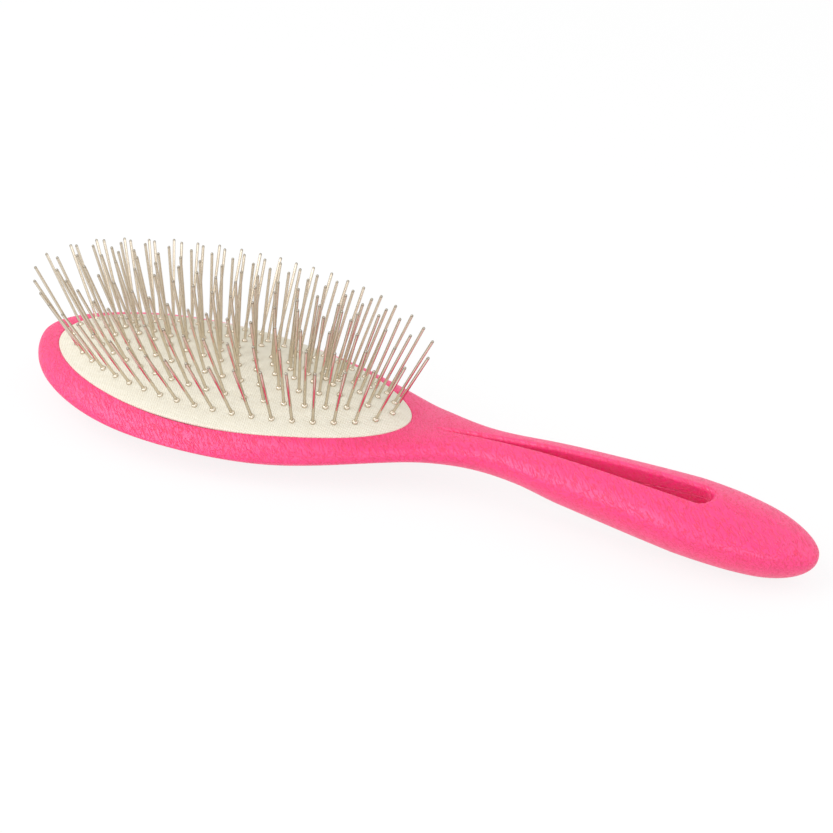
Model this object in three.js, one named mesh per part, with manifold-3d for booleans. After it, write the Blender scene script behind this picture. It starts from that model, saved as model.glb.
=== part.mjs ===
// Oval pin brush for grooming a coat: a one-piece moulded head and handle, a beaded rubber air
// cushion that snaps into a groove in the head, a woven cloth facing, and blunt straight alloy pins.
// Millimetres, +Z up. The brush lies on its back: z = 0 is the table, the pins point up, the handle
// points along +X, and the origin is under the middle of the whole brush.

import * as THREE from 'three';
import { mergeVertices } from 'three/addons/utils/BufferGeometryUtils.js';
import Module from 'manifold-3d';

const wasm = await Module();
wasm.setup();

// ---- Driving dimensions ---------------------------------------------------------------------

// Pad opening in the head, seen from above: an oval that is a little fuller toward the toe.
const padLength = 113.4;
const padWidth = 53;
const toeSwell = 0.095; // share by which the oval is wider at the toe, narrower at the handle
const endTaper = 0.12; // share by which it draws in toward both ends
const rimWidth = 6.05; // rim beside the pad, on the plan
const toeRimWidth = 6.6; // rim at the toe

// Height of the face. The rim is lowest at the middle of the pad and sweeps up to both ends.
const rimHeight = 12.5; // rim above the table at the middle of the pad
const faceRise = 0.9; // what the rim gains at each end of the pad
const rimCrown = 1.6; // the body's crown line above the rim's inner edge
const padEndCrown = 0.25; // the same at the two ends of the pad

// Head and handle on the plan, each length measured from the place before it.
const shoulderBeforePadEnd = 20; // where the head's oval starts to flow into the neck
const padEndToNeck = 21.6; // pad to the narrowest part
const neckToGrip = 26;
const gripToHeel = 32; // middle of the grip to the widest part of the handle
const heelToEnd = 34.8;
const neckWidth = 16;
const gripWidth = 20;
const heelWidth = 26.6;
const endFullness = 2.2; // 2 rounds the ends as plain ellipses, more is blunter

// Head and handle seen from the side: heights above the table.
const toeTipHeight = 12.4;
const toeUnderside = 4.3;
const padEndToThroat = 5; // where the back has climbed from the head to the arch under the neck
const throatUnderside = 5.9;
const neckToArch = 13; // narrowest part to the handle's end of that arch
const archUnderside = 5.8;
const gripUnderside = 3.6;
const heelToRest = 12; // widest part of the handle to where its heel rests on the table
const endUnderside = 0;
const handleTipHeight = 8.1;
const slotTopHeight = 14.9; // top of the handle at the slot's pointed end
const gripTopHeight = 18.3; // at the middle of the grip
const heelTopHeight = 17.6; // top of the handle at the slot's round end
const endTopHeight = 13.6; // top line where the handle rounds off
const endRounding = 16; // length over which both ends round off
const restDepth = 0.6; // how far the rounded back is flattened where it rests
const heelRestDepth = 0.5;

// Cross-section of head and handle, above and below its widest line. The flatness of a top or back
// and the steepness of its sides are 2 for a plain ellipse, less for a keel, more for a box.
const headTopFlatness = 4.6;
const shoulderTopFlatness = 2.65; // at the pad's handle end
const handleTopFlatness = 1.6;
const headTopSteepness = 1.7;
const shoulderTopSteepness = 3.5;
const handleTopSteepness = 2.25;
const headBackFlatness = 1.42;
const handleBackFlatness = 1.56;
const headBackSteepness = 1.63;
const handleBackSteepness = 1.73;
const headWidestShare = 0.44; // share of the thickness that lies above the widest line
const handleWidestShare = 0.38;

// Slot through the handle: pointed toward the head, round toward the heel.
const padEndToSlot = 9.1;
const slotToHandleEnd = 28.2;
const slotWidth = 6.8;
const slotTaper = 1.75; // more keeps the pointed part slim for longer
const slotEdgeRound = 1.3;
const slotPointLength = 4; // from the slot's point to where its edge is fully rounded
const slotSideShare = 0.75; // share of its outline's points that lie on the sides, not on the round

// Cushion, its bead and the pocket that holds them.
const pocketDepth = 5.6;
const grooveDepth = 1.9; // undercut into the rim
const grooveBelowFace = 2.1;
const grooveHeight = 1.9;
const crownHeight = 7.8; // air-filled crown of the cushion above the rim
const crownFullness = 1.7; // 2 is a plain parabola, less is more pointed, more is fuller
const rubberThickness = 2;
const skirtThickness = 1.6;
const clothThickness = 0.9;
const clearance = 0.3;
const cutMargin = 5; // how far a cutting shape runs past what it cuts

// Pins: nested oval rows and one straight row along the crest.
const ridgeLength = 66; // length of the crest line on which the cushion's ovals close
const edgeMargin = 5.2; // pad edge to the outer row
const rowStep = 5.65; // from one row to the next, across the pad
const pinPitch = 5.7;
const pinDiameter = 0.95;
const pinLength = 22.7; // above the cloth
const collarDiameter = 1.6;
const collarHeight = 1.1;
const collarTaper = 0.35;
const pinRoot = 0.5; // how deep a pin is anchored in the cloth slice
const sideLean = 0.58; // outward slope of an outer pin at the pad's side, 1 being 45 degrees
const handleLean = 0.54; // the same at the pad's handle end
const toeLean = 0.49; // and at its toe
const fanPower = 1.5; // 1 spreads the lean evenly toward both ends, more keeps the middle upright

// Facets.
const stationsAlong = 56;
const pointsAround = 36;
const ovalSteps = 36;
const crownSteps = 5; // across the cushion, from its edge to the crest
const sliceSteps = 2; // across one slice of the cloth
const slotSteps = 32;
const edgeSteps = 2;
const pinSides = 4;
const arcSamples = 720; // for spacing the pins evenly
const weldDistance = 1e-4;

// ---- Values that follow -----------------------------------------------------------------------

const padHalfLength = padLength / 2;
const padHalfWidth = padWidth / 2;
const headHalfLength = padHalfLength + toeRimWidth;
const headHalfWidth = padHalfWidth + rimWidth;
const slotHalfWidth = slotWidth / 2;

// Places along the brush, from the middle of the pad.
const shoulderReach = padHalfLength - shoulderBeforePadEnd;
const throatReach = padHalfLength + padEndToThroat;
const neckReach = padHalfLength + padEndToNeck;
const archReach = neckReach + neckToArch;
const gripReach = neckReach + neckToGrip;
const heelReach = gripReach + gripToHeel;
const handleReach = heelReach + heelToEnd;
const slotEnd = handleReach - slotToHandleEnd;
const slotStart = padHalfLength + padEndToSlot;
const slotRoundCentre = slotEnd - slotHalfWidth;
const overallLength = headHalfLength + handleReach;
const padCentreX = headHalfLength - overallLength / 2;

// ---- Materials --------------------------------------------------------------------------------

const pinkPlastic = () =>
  new THREE.MeshStandardMaterial({ color: 0xfb4f8c, roughness: 0.48, metalness: 0 });
const creamRubber = () =>
  new THREE.MeshStandardMaterial({ color: 0xd8cfb8, roughness: 0.8, metalness: 0 });
const creamCloth = () =>
  new THREE.MeshStandardMaterial({ color: 0xf1ecd9, roughness: 0.92, metalness: 0 });
const satinAlloy = () =>
  new THREE.MeshStandardMaterial({ color: 0xbfb09a, roughness: 0.3, metalness: 0.9 });

// ---- Closed meshes and booleans ---------------------------------------------------------------

// A geometry from a list of corner triples, welded, with its faces turned outward.
function closedGeometry(corners, triangles) {
  const geometry = new THREE.BufferGeometry();
  geometry.setAttribute('position', new THREE.Float32BufferAttribute(corners.flat(), 3));
  geometry.setIndex(triangles.flat());
  const welded = mergeVertices(geometry, weldDistance);
  return signedVolume(welded) < 0 ? turnedInsideOut(welded) : welded;
}

function signedVolume(geometry) {
  const position = geometry.getAttribute('position');
  const index = geometry.getIndex().array;
  const [a, b, c] = [new THREE.Vector3(), new THREE.Vector3(), new THREE.Vector3()];
  let six = 0;
  for (let i = 0; i < index.length; i += 3) {
    a.fromBufferAttribute(position, index[i]);
    b.fromBufferAttribute(position, index[i + 1]);
    c.fromBufferAttribute(position, index[i + 2]);
    six += a.dot(b.cross(c));
  }
  return six / 6;
}

function turnedInsideOut(geometry) {
  const index = Array.from(geometry.getIndex().array);
  for (let i = 0; i < index.length; i += 3) {
    [index[i], index[i + 1]] = [index[i + 1], index[i]];
  }
  geometry.setIndex(index);
  return geometry;
}

function toSolid(geometry) {
  const bare = geometry.clone();
  bare.deleteAttribute('normal');
  bare.deleteAttribute('uv');
  const welded = mergeVertices(bare, weldDistance);
  return new wasm.Manifold(
    new wasm.Mesh({
      numProp: 3,
      vertProperties: new Float32Array(welded.getAttribute('position').array),
      triVerts: new Uint32Array(welded.getIndex().array),
    }),
  );
}

function toGeometry(solid) {
  const mesh = solid.getMesh();
  const geometry = new THREE.BufferGeometry();
  geometry.setAttribute('position', new THREE.BufferAttribute(mesh.vertProperties, 3));
  geometry.setIndex(new THREE.BufferAttribute(mesh.triVerts, 1));
  geometry.computeVertexNormals();
  return geometry;
}

// ---- Curves of the head and the cushion ---------------------------------------------------------

// A smooth line through [place, value] pairs.
function smoothLine(pairs) {
  const places = pairs.map(([place]) => place);
  const values = pairs.map(([, value]) => value);
  const curve = new THREE.CubicInterpolant(places, values, 1);
  return (x) => curve.evaluate(Math.min(Math.max(x, places[0]), places.at(-1)))[0];
}

// What the width gains or loses at a place along an oval.
const planSwell = (x, halfLength) =>
  1 - (toeSwell * x) / padHalfLength - endTaper * (x / halfLength) ** 2;

// A point on an oval of the given half sizes, fuller toward the toe.
function ovalPoint(halfLength, halfWidth, angle) {
  const x = halfLength * Math.cos(angle);
  return [x, halfWidth * Math.sin(angle) * planSwell(x, halfLength)];
}

// The rim's inner edge sweeps up toward both ends of the pad.
const faceHeight = (x) => rimHeight + faceRise * (x / padHalfLength) ** 2;

// Ovals of the cushion run from share 0 at the pad's edge to share 1 on the crest line.
const ovalHalfLength = (share) => padHalfLength - share * (padHalfLength - ridgeLength / 2);
const ovalHalfWidth = (share) => padHalfWidth * (1 - share);
const crownAt = (share) => crownHeight * (1 - (1 - share) ** crownFullness);
const clothTop = (x, share) => faceHeight(x) + crownAt(share);

// One hoop of a cushion piece: an oval at a share, pushed out by some millimetres, and lowered
// below the cloth's top or, where flat is set, below the face.
function hoop({ share = 0, push = 0, drop = 0, flat = false }) {
  return (angle) => {
    const halfLength = ovalHalfLength(share) + push;
    const [x, y] = ovalPoint(halfLength, Math.max(ovalHalfWidth(share) + push, 0), angle);
    const top = flat ? faceHeight(x) : clothTop(x, share);
    return [x, y, top - drop];
  };
}

// Solid swept through a chain of hoops. A closed chain makes a ring; an open one starts and ends
// on the crest line, where its two sides meet.
function hoopSolid(hoops, closed, steps = ovalSteps) {
  const corners = [];
  const triangles = [];
  for (const at of hoops) {
    for (let j = 0; j < steps; j += 1) {
      corners.push(at((2 * Math.PI * j) / steps));
    }
  }
  const spans = closed ? hoops.length : hoops.length - 1;
  for (let i = 0; i < spans; i += 1) {
    const here = i * steps;
    const next = ((i + 1) % hoops.length) * steps;
    for (let j = 0; j < steps; j += 1) {
      const k = (j + 1) % steps;
      triangles.push([here + j, here + k, next + k]);
      triangles.push([here + j, next + k, next + j]);
    }
  }
  return closedGeometry(corners, triangles);
}

// Values from one to another in even steps.
function evenSteps(from, to, steps) {
  return Array.from({ length: steps + 1 }, (_, i) => from + ((to - from) * i) / steps);
}

// ---- Head and handle ----------------------------------------------------------------------------

const headPlan = (x) => {
  const inside = Math.max(1 - (x / headHalfLength) ** 2, 0);
  return headHalfWidth * Math.sqrt(inside) * planSwell(x, headHalfLength);
};

// Half width of the body: the head's oval, flowing into the neck, the grip and the heel.
const flowStep = 6; // spacing of the extra points that carry the head's slope into the neck
const handlePlan = smoothLine([
  [shoulderReach - flowStep, headPlan(shoulderReach - flowStep)],
  [shoulderReach, headPlan(shoulderReach)],
  [neckReach, neckWidth / 2],
  [gripReach, gripWidth / 2],
  [heelReach, heelWidth / 2],
]);

function bodyHalfWidth(x) {
  if (x <= shoulderReach) return headPlan(x);
  if (x <= heelReach) return handlePlan(x);
  const along = (x - heelReach) / (handleReach - heelReach);
  return (heelWidth / 2) * Math.sqrt(Math.max(1 - along ** endFullness, 0));
}

const topLine = smoothLine([
  [-padHalfLength, faceHeight(-padHalfLength) + padEndCrown],
  [-padHalfLength / 2, faceHeight(-padHalfLength / 2) + rimCrown],
  [0, rimHeight + rimCrown],
  [padHalfLength / 2, faceHeight(padHalfLength / 2) + rimCrown],
  [padHalfLength, faceHeight(padHalfLength) + padEndCrown],
  [slotStart, slotTopHeight],
  [gripReach, gripTopHeight],
  [slotEnd, heelTopHeight],
  [handleReach, endTopHeight],
]);

const backLine = smoothLine([
  [-headHalfLength, toeUnderside],
  [-padHalfLength / 2, -restDepth],
  [0, -restDepth],
  [padHalfLength / 2, -restDepth],
  [throatReach, throatUnderside],
  [archReach, archUnderside],
  [gripReach, gripUnderside],
  [heelReach + heelToRest, -heelRestDepth],
  [handleReach, endUnderside],
]);

// A value that holds along the head, changes past the shoulder and holds along the handle. Where a
// third value is given, the line passes through it at the pad's end.
const fromHeadToHandle = (head, handle, shoulder) =>
  smoothLine([
    [-headHalfLength, head],
    [shoulderReach, head],
    ...(shoulder === undefined ? [] : [[padHalfLength, shoulder]]),
    [archReach, handle],
    [handleReach, handle],
  ]);
const widestShare = fromHeadToHandle(headWidestShare, handleWidestShare);
const topFlatness = fromHeadToHandle(headTopFlatness, handleTopFlatness, shoulderTopFlatness);
const topSteepness = fromHeadToHandle(headTopSteepness, handleTopSteepness, shoulderTopSteepness);
const backFlatness = fromHeadToHandle(headBackFlatness, handleBackFlatness);
const backSteepness = fromHeadToHandle(headBackSteepness, handleBackSteepness);

// Heights of the top line, the widest line and the back line, drawn in at both ends.
function bodyHeights(x) {
  const fromToe = (headHalfLength + x) / endRounding;
  const fromEnd = (handleReach - x) / endRounding;
  const rounding = (reach) => Math.sqrt(1 - Math.min(Math.max(1 - reach, 0), 1) ** endFullness);
  const keep = Math.min(rounding(fromToe), rounding(fromEnd));
  const tip = x < 0 ? toeTipHeight : handleTipHeight;
  const top = tip + (topLine(x) - tip) * keep;
  const back = tip + (backLine(x) - tip) * keep;
  return { top, widest: top - (top - back) * widestShare(x), back };
}

// Height of the body's top surface beside the middle line.
function topSurface(x, y) {
  const { top, widest } = bodyHeights(x);
  const aside = Math.min(Math.abs(y) / bodyHalfWidth(x), 1);
  return widest + (top - widest) * (1 - aside ** topFlatness(x)) ** (1 / topSteepness(x));
}

function bodySection(x) {
  const { top, widest, back } = bodyHeights(x);
  const points = [];
  for (let j = 0; j < pointsAround; j += 1) {
    const angle = (2 * Math.PI * j) / pointsAround;
    const [c, s] = [Math.cos(angle), Math.sin(angle)];
    const [flatness, steepness] = s >= 0 ? [topFlatness, topSteepness] : [backFlatness, backSteepness];
    const y = bodyHalfWidth(x) * Math.sign(c) * Math.abs(c) ** (2 / flatness(x));
    const reach = s >= 0 ? top - widest : widest - back;
    points.push([x, y, widest + Math.sign(s) * reach * Math.abs(s) ** (2 / steepness(x))]);
  }
  return points;
}

// The outer form, lofted through cross-sections that crowd together at both ends.
function bodyLoft() {
  const corners = [[-headHalfLength, 0, toeTipHeight]];
  const triangles = [];
  for (let i = 1; i < stationsAlong; i += 1) {
    const share = (1 - Math.cos((Math.PI * i) / stationsAlong)) / 2;
    corners.push(...bodySection(-headHalfLength + overallLength * share));
  }
  corners.push([handleReach, 0, handleTipHeight]);
  const last = corners.length - 1;
  const ring = (i, j) => 1 + i * pointsAround + (j % pointsAround);
  for (let j = 0; j < pointsAround; j += 1) {
    triangles.push([0, ring(0, j + 1), ring(0, j)]);
    triangles.push([last, ring(stationsAlong - 2, j), ring(stationsAlong - 2, j + 1)]);
    for (let i = 0; i < stationsAlong - 2; i += 1) {
      triangles.push([ring(i, j), ring(i, j + 1), ring(i + 1, j + 1)]);
      triangles.push([ring(i, j), ring(i + 1, j + 1), ring(i + 1, j)]);
    }
  }
  return closedGeometry(corners, triangles);
}

// Everything below the table line, cut away to leave the two rest faces.
function tableCut() {
  const length = overallLength + 2 * cutMargin;
  const width = 2 * (headHalfWidth + cutMargin);
  const block = new THREE.BoxGeometry(length, width, cutMargin);
  block.translate(overallLength / 2 - headHalfLength, 0, -cutMargin / 2);
  return block;
}

// Pocket for the cushion: open at the top, its floor following the swept face.
function pocketCut() {
  return hoopSolid(
    [
      hoop({ share: 1, drop: -cutMargin, flat: true }),
      hoop({ drop: -cutMargin, flat: true }),
      hoop({ drop: pocketDepth, flat: true }),
      hoop({ share: 1, drop: pocketDepth, flat: true }),
    ],
    false,
  );
}

// Undercut groove that holds the cushion's bead.
function grooveCut() {
  const floor = grooveBelowFace + grooveHeight;
  return hoopSolid(
    [
      hoop({ push: -skirtThickness, drop: grooveBelowFace, flat: true }),
      hoop({ push: grooveDepth, drop: grooveBelowFace, flat: true }),
      hoop({ push: grooveDepth, drop: floor, flat: true }),
      hoop({ push: -skirtThickness, drop: floor, flat: true }),
    ],
    true,
  );
}

// A point on the slot's outline: its sides swell from the point to the round end. A push moves it
// outward, and dies away toward the point.
function slotPoint(angle, push) {
  const along = Math.abs(1 - angle / Math.PI);
  const onSide = Math.min(along / slotSideShare, 1);
  const onRound = Math.max(along - slotSideShare, 0) / (1 - slotSideShare);
  const swell = Math.sin((Math.PI / 2) * onSide ** slotTaper);
  const fromPoint = (slotRoundCentre - slotStart) * onSide;
  const reach = slotHalfWidth * swell + push * Math.min(fromPoint / slotPointLength, 1);
  const turn = (Math.PI / 2) * onRound;
  const x = slotStart + fromPoint + reach * Math.sin(turn);
  return [x, Math.sign(Math.PI - angle) * reach * Math.cos(turn)];
}

// One hoop of the slot's cut: at the table or, by default, by some millimetres below the body's top.
// A shut hoop closes on the middle line.
function slotHoop({ push = 0, drop = 0, atTable = false, shut = false }) {
  return (angle) => {
    const [x, y] = slotPoint(angle, push);
    return [x, shut ? 0 : y, atTable ? -cutMargin : topSurface(x, y) - drop];
  };
}

// The slot right through the handle, its top edge rounded along the domed top of the handle.
function slotCut() {
  const edge = evenSteps(0, Math.PI / 2, edgeSteps).map((angle) =>
    slotHoop({
      push: slotEdgeRound * (1 - Math.cos(angle)),
      drop: slotEdgeRound * (1 - Math.sin(angle)),
    }),
  );
  return hoopSolid(
    [
      slotHoop({ atTable: true, shut: true }),
      slotHoop({ atTable: true }),
      ...edge,
      slotHoop({ push: slotEdgeRound, drop: -cutMargin }),
      slotHoop({ push: slotEdgeRound, drop: -cutMargin, shut: true }),
    ],
    false,
    2 * slotSteps,
  );
}

function handleBody() {
  let solid = toSolid(bodyLoft());
  for (const cut of [tableCut(), pocketCut(), grooveCut(), slotCut()]) {
    solid = solid.subtract(toSolid(cut));
  }
  return toGeometry(solid);
}

// ---- Cushion and cloth --------------------------------------------------------------------------

// One-piece rubber cushion: crowned membrane, skirt down the pocket wall, bead in the groove.
function rubberCushion() {
  const top = clothThickness + clearance;
  const underside = top + rubberThickness;
  const shares = evenSteps(1, 0, crownSteps);
  const innerEdge = (skirtThickness + 2 * clearance) / padHalfWidth;
  const innerShares = evenSteps(innerEdge, 1, crownSteps - 1);
  const beadTop = grooveBelowFace + clearance;
  const beadFloor = grooveBelowFace + grooveHeight - clearance;
  const outside = -clearance;
  return hoopSolid(
    [
      ...shares.slice(0, -1).map((share) => hoop({ share, drop: top })),
      hoop({ push: outside, drop: top, flat: true }),
      hoop({ push: outside, drop: beadTop, flat: true }),
      hoop({ push: grooveDepth - clearance, drop: beadTop, flat: true }),
      hoop({ push: grooveDepth - clearance, drop: beadFloor, flat: true }),
      hoop({ push: outside, drop: beadFloor, flat: true }),
      hoop({ push: outside - skirtThickness, drop: beadFloor, flat: true }),
      ...innerShares.map((share) => hoop({ share, drop: underside })),
    ],
    false,
  );
}

// A slice of the cloth facing between two shares of the pad.
function clothSlice(outer, inner, pushOut = 0) {
  const shares = evenSteps(outer, inner, sliceSteps);
  const reachesCrest = inner >= 1;
  const top = shares.map((share, i) => hoop({ share, push: i === 0 ? pushOut : 0 }));
  const under = shares.map((share, i) =>
    hoop({ share, push: i === 0 ? pushOut : 0, drop: clothThickness }),
  );
  return hoopSolid([...top.toReversed(), ...under], !reachesCrest);
}

// ---- Pins ---------------------------------------------------------------------------------------

const shareOfRow = (row) => (edgeMargin + row * rowStep) / padHalfWidth;
const ringRows = Math.round((padHalfWidth - edgeMargin) / rowStep);

// Feet of one oval row, evenly spaced along it and even about the centre line. Rows alternate
// between a pin on the centre line at the handle end and a gap there.
function rowFeet(row) {
  const share = shareOfRow(row);
  const points = evenSteps(0, 2 * Math.PI, arcSamples).map((angle) => {
    const [x, y] = ovalPoint(ovalHalfLength(share), ovalHalfWidth(share), angle);
    return new THREE.Vector2(x, y);
  });
  const lengths = [0];
  for (let i = 1; i <= arcSamples; i += 1) {
    lengths.push(lengths[i - 1] + points[i].distanceTo(points[i - 1]));
  }
  const count = Math.round(lengths[arcSamples] / pinPitch);
  const shift = row % 2 === 0 ? 0 : 0.5;
  return Array.from({ length: count }, (_, i) => {
    const target = (lengths[arcSamples] * (i + shift)) / count;
    const after = Math.max(lengths.findIndex((length) => length >= target), 1);
    const part = (target - lengths[after - 1]) / (lengths[after] - lengths[after - 1]);
    const place = points[after - 1].clone().lerp(points[after], part);
    return { x: place.x, y: place.y, share };
  });
}

// Feet of the straight row on the crest line.
function crestFeet() {
  const count = Math.floor(ridgeLength / pinPitch) + 1;
  const first = (-(count - 1) * pinPitch) / 2;
  return Array.from({ length: count }, (_, i) => ({ x: first + i * pinPitch, y: 0, share: 1 }));
}

// Pins fan out from the middle of the pad. The leans are those of the outer row.
function pinDirection(x, y) {
  const outer = shareOfRow(0);
  const along = Math.abs(x / ovalHalfLength(outer)) ** fanPower;
  const aside = y / ovalHalfWidth(outer);
  const slope = x < 0 ? -toeLean * along : handleLean * along;
  return new THREE.Vector3(slope, sideLean * aside, 1).normalize();
}

// One pin: root in the cloth, raised collar, straight blunt wire.
function pin({ x, y, share }) {
  const foot = new THREE.Vector3(x, y, clothTop(x, share));
  const along = pinDirection(x, y);
  const across = new THREE.Vector3(0, 1, 0).cross(along).normalize();
  const third = along.clone().cross(across);
  const wire = pinDiameter / 2;
  const collar = collarDiameter / 2;
  const profile = [
    [-pinRoot, collar],
    [collarHeight - collarTaper, collar],
    [collarHeight, wire],
    [pinLength, wire],
  ];
  const corners = [];
  for (const [height, radius] of profile) {
    for (let j = 0; j < pinSides; j += 1) {
      const angle = (2 * Math.PI * (j + 0.5)) / pinSides;
      const corner = foot.clone().addScaledVector(along, height);
      corner.addScaledVector(across, radius * Math.cos(angle));
      corner.addScaledVector(third, radius * Math.sin(angle));
      corners.push(corner.toArray());
    }
  }
  return closedGeometry(corners, stackTriangles(profile.length, pinSides));
}

// Sides and end caps of a stack of equal polygons.
function stackTriangles(layers, sides) {
  const triangles = [];
  for (let i = 0; i < layers - 1; i += 1) {
    for (let j = 0; j < sides; j += 1) {
      const k = (j + 1) % sides;
      const [here, next] = [i * sides, (i + 1) * sides];
      triangles.push([here + j, here + k, next + k]);
      triangles.push([here + j, next + k, next + j]);
    }
  }
  const top = (layers - 1) * sides;
  for (let j = 1; j < sides - 1; j += 1) {
    triangles.push([0, j + 1, j]);
    triangles.push([top, top + j, top + j + 1]);
  }
  return triangles;
}

// A slice of cloth with the pins that stand in it.
function pinnedSlice(outer, inner, feet) {
  let solid = toSolid(clothSlice(outer, inner));
  for (const foot of feet) {
    solid = solid.add(toSolid(pin(foot)));
  }
  return toGeometry(solid);
}

// ---- The brush ----------------------------------------------------------------------------------

const brush = new THREE.Group();
const head = new THREE.Group();
head.position.x = padCentreX;
brush.add(head);

function place(name, geometry, material) {
  const mesh = new THREE.Mesh(geometry, material);
  mesh.name = name;
  head.add(mesh);
}

// Slices part half-way between rows; the border outside the first cut stays with the head.
const cutShare = (row) => (edgeMargin + (row - 0.5) * rowStep) / padHalfWidth;
const halfGap = clearance / 2 / padHalfWidth;

place('handle_body', handleBody(), pinkPlastic());
place('rubber_cushion', rubberCushion(), creamRubber());
place('cloth_border', clothSlice(0, cutShare(0) - halfGap, -clearance), creamCloth());
for (let row = 0; row < ringRows; row += 1) {
  const isCrest = row === ringRows - 1;
  const inner = isCrest ? 1 : cutShare(row + 1) - halfGap;
  const feet = isCrest ? [...rowFeet(row), ...crestFeet()] : rowFeet(row);
  place(`pin_row_${row + 1}`, pinnedSlice(cutShare(row) + halfGap, inner, feet), satinAlloy());
}

export default brush;
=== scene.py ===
"""Pin brush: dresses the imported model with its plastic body, cloth, rubber cushion and pins."""

import math

import bmesh
import bpy
import numpy as np
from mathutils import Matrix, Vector

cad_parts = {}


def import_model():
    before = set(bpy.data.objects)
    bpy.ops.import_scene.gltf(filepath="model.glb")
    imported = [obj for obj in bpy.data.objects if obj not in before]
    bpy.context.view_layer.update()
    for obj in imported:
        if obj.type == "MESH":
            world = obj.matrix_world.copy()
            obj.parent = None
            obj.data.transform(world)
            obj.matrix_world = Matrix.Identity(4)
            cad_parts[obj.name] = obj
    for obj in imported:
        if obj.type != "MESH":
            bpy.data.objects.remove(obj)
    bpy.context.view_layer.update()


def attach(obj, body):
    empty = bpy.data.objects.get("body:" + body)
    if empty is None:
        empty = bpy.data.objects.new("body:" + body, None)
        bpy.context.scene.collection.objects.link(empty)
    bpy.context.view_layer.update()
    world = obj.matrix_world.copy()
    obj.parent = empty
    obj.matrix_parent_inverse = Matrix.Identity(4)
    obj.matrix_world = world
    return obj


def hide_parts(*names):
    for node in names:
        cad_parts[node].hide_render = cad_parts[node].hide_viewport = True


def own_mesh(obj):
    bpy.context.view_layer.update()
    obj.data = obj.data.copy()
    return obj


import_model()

MM = 0.001

# ---- Sizes of the solids, in millimetres, along the brush from the middle of the pad ------------

PAD_LENGTH = 113.4
PAD_WIDTH = 53.0
TOE_SWELL = 0.095
END_TAPER = 0.12
RIM_WIDTH = 6.05
TOE_RIM_WIDTH = 6.6
RIM_HEIGHT = 12.5
FACE_RISE = 0.9
RIM_CROWN = 1.6
PAD_END_CROWN = 0.25

SHOULDER_BEFORE_PAD_END = 20.0
FLOW_STEP = 6.0
PAD_END_TO_NECK = 21.6
NECK_TO_GRIP = 26.0
GRIP_TO_HEEL = 32.0
HEEL_TO_END = 34.8
NECK_WIDTH = 16.0
GRIP_WIDTH = 20.0
HEEL_WIDTH = 26.6
END_FULLNESS = 2.2

TOE_TIP_HEIGHT = 12.4
TOE_UNDERSIDE = 4.3
PAD_END_TO_THROAT = 5.0
THROAT_UNDERSIDE = 5.9
NECK_TO_ARCH = 13.0
ARCH_UNDERSIDE = 5.8
GRIP_UNDERSIDE = 3.6
HEEL_TO_REST = 12.0
END_UNDERSIDE = 0.0
HANDLE_TIP_HEIGHT = 8.1
SLOT_TOP_HEIGHT = 14.9
GRIP_TOP_HEIGHT = 18.3
HEEL_TOP_HEIGHT = 17.6
END_TOP_HEIGHT = 13.6
END_ROUNDING = 16.0
REST_DEPTH = 0.6
HEEL_REST_DEPTH = 0.5

HEAD_TOP_FLATNESS = 4.6
SHOULDER_TOP_FLATNESS = 2.65
HANDLE_TOP_FLATNESS = 1.6
HEAD_TOP_STEEPNESS = 1.7
SHOULDER_TOP_STEEPNESS = 3.5
HANDLE_TOP_STEEPNESS = 2.25
HEAD_BACK_FLATNESS = 1.42
HANDLE_BACK_FLATNESS = 1.56
HEAD_BACK_STEEPNESS = 1.63
HANDLE_BACK_STEEPNESS = 1.73
HEAD_WIDEST_SHARE = 0.44
HANDLE_WIDEST_SHARE = 0.38

PAD_END_TO_SLOT = 9.1
SLOT_TO_HANDLE_END = 28.2
SLOT_WIDTH = 6.8
SLOT_TAPER = 1.75

POCKET_DEPTH = 5.6
GROOVE_DEPTH = 1.9
GROOVE_BELOW_FACE = 2.1
GROOVE_HEIGHT = 1.9
CROWN_HEIGHT = 7.8
CROWN_FULLNESS = 1.7
RUBBER_THICKNESS = 2.0
SKIRT_THICKNESS = 1.6
CLOTH_THICKNESS = 0.9
CLEARANCE = 0.3

RIDGE_LENGTH = 66.0
EDGE_MARGIN = 5.2
ROW_STEP = 5.65
PIN_PITCH = 5.7
PIN_LENGTH = 22.7
SIDE_LEAN = 0.58
HANDLE_LEAN = 0.54
TOE_LEAN = 0.49
FAN_POWER = 1.5

# ---- Finer sizes that only the dressed model has ------------------------------------------------

RIM_EDGE_ROUND = 0.45
SLOT_EDGE_ROUND = 1.3
SLOT_POINT_LENGTH = 4.0
SLOT_POINT_ROUND = 0.3
SLOT_BACK_ROUND = 0.8
SEAM_DEPTH = 1.9  # parting line on the slot's wall, below its rounded edge at the round end
SEAM_FALL = 0.075  # how much deeper it lies for each millimetre toward the point
SEAM_WIDTH = 0.22
SEAM_SUNK = 0.12
CLOTH_EDGE_ROUND = 0.25
CLOTH_EDGE_REACH = 2.0  # how far in from its edge the cloth is lifted to meet the rim
DIMPLE_DEPTH = 0.45  # how far the cloth is drawn down round each pin
DIMPLE_RADIUS = 2.1
COLLAR_RADIUS = 0.82
COLLAR_HEIGHT = 0.75
COLLAR_TUCK = 0.3  # how far the collar reaches under the cloth
COLLAR_FOOT = 0.92  # share of its radius that it has there
COLLAR_START = -0.5  # angle at which its domed side starts, 0 being its widest line
COLLAR_BAND = 0.35  # share of its height that lies below its widest line
COLLAR_NECK = 0.15  # from the collar's top to the bare wire
WIRE_DIAMETER = 0.8
WIRE_ROOT = 2.0  # how deep a wire goes into the rubber
WIRE_TILT = 0.008  # spread of a wire's slope about true
WIRE_BEND = 0.25  # largest bow of a wire's tip
TIP_ROUND = 0.36
TIP_LENGTH = 0.8  # end of a wire that is painted darker, a painted dark reflection
PAINTED_TIP_MARK = "tip"  # name of the meshes' attribute that is 1 on that painted end
THREAD_PITCH = 0.62  # of the cloth's weave

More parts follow.
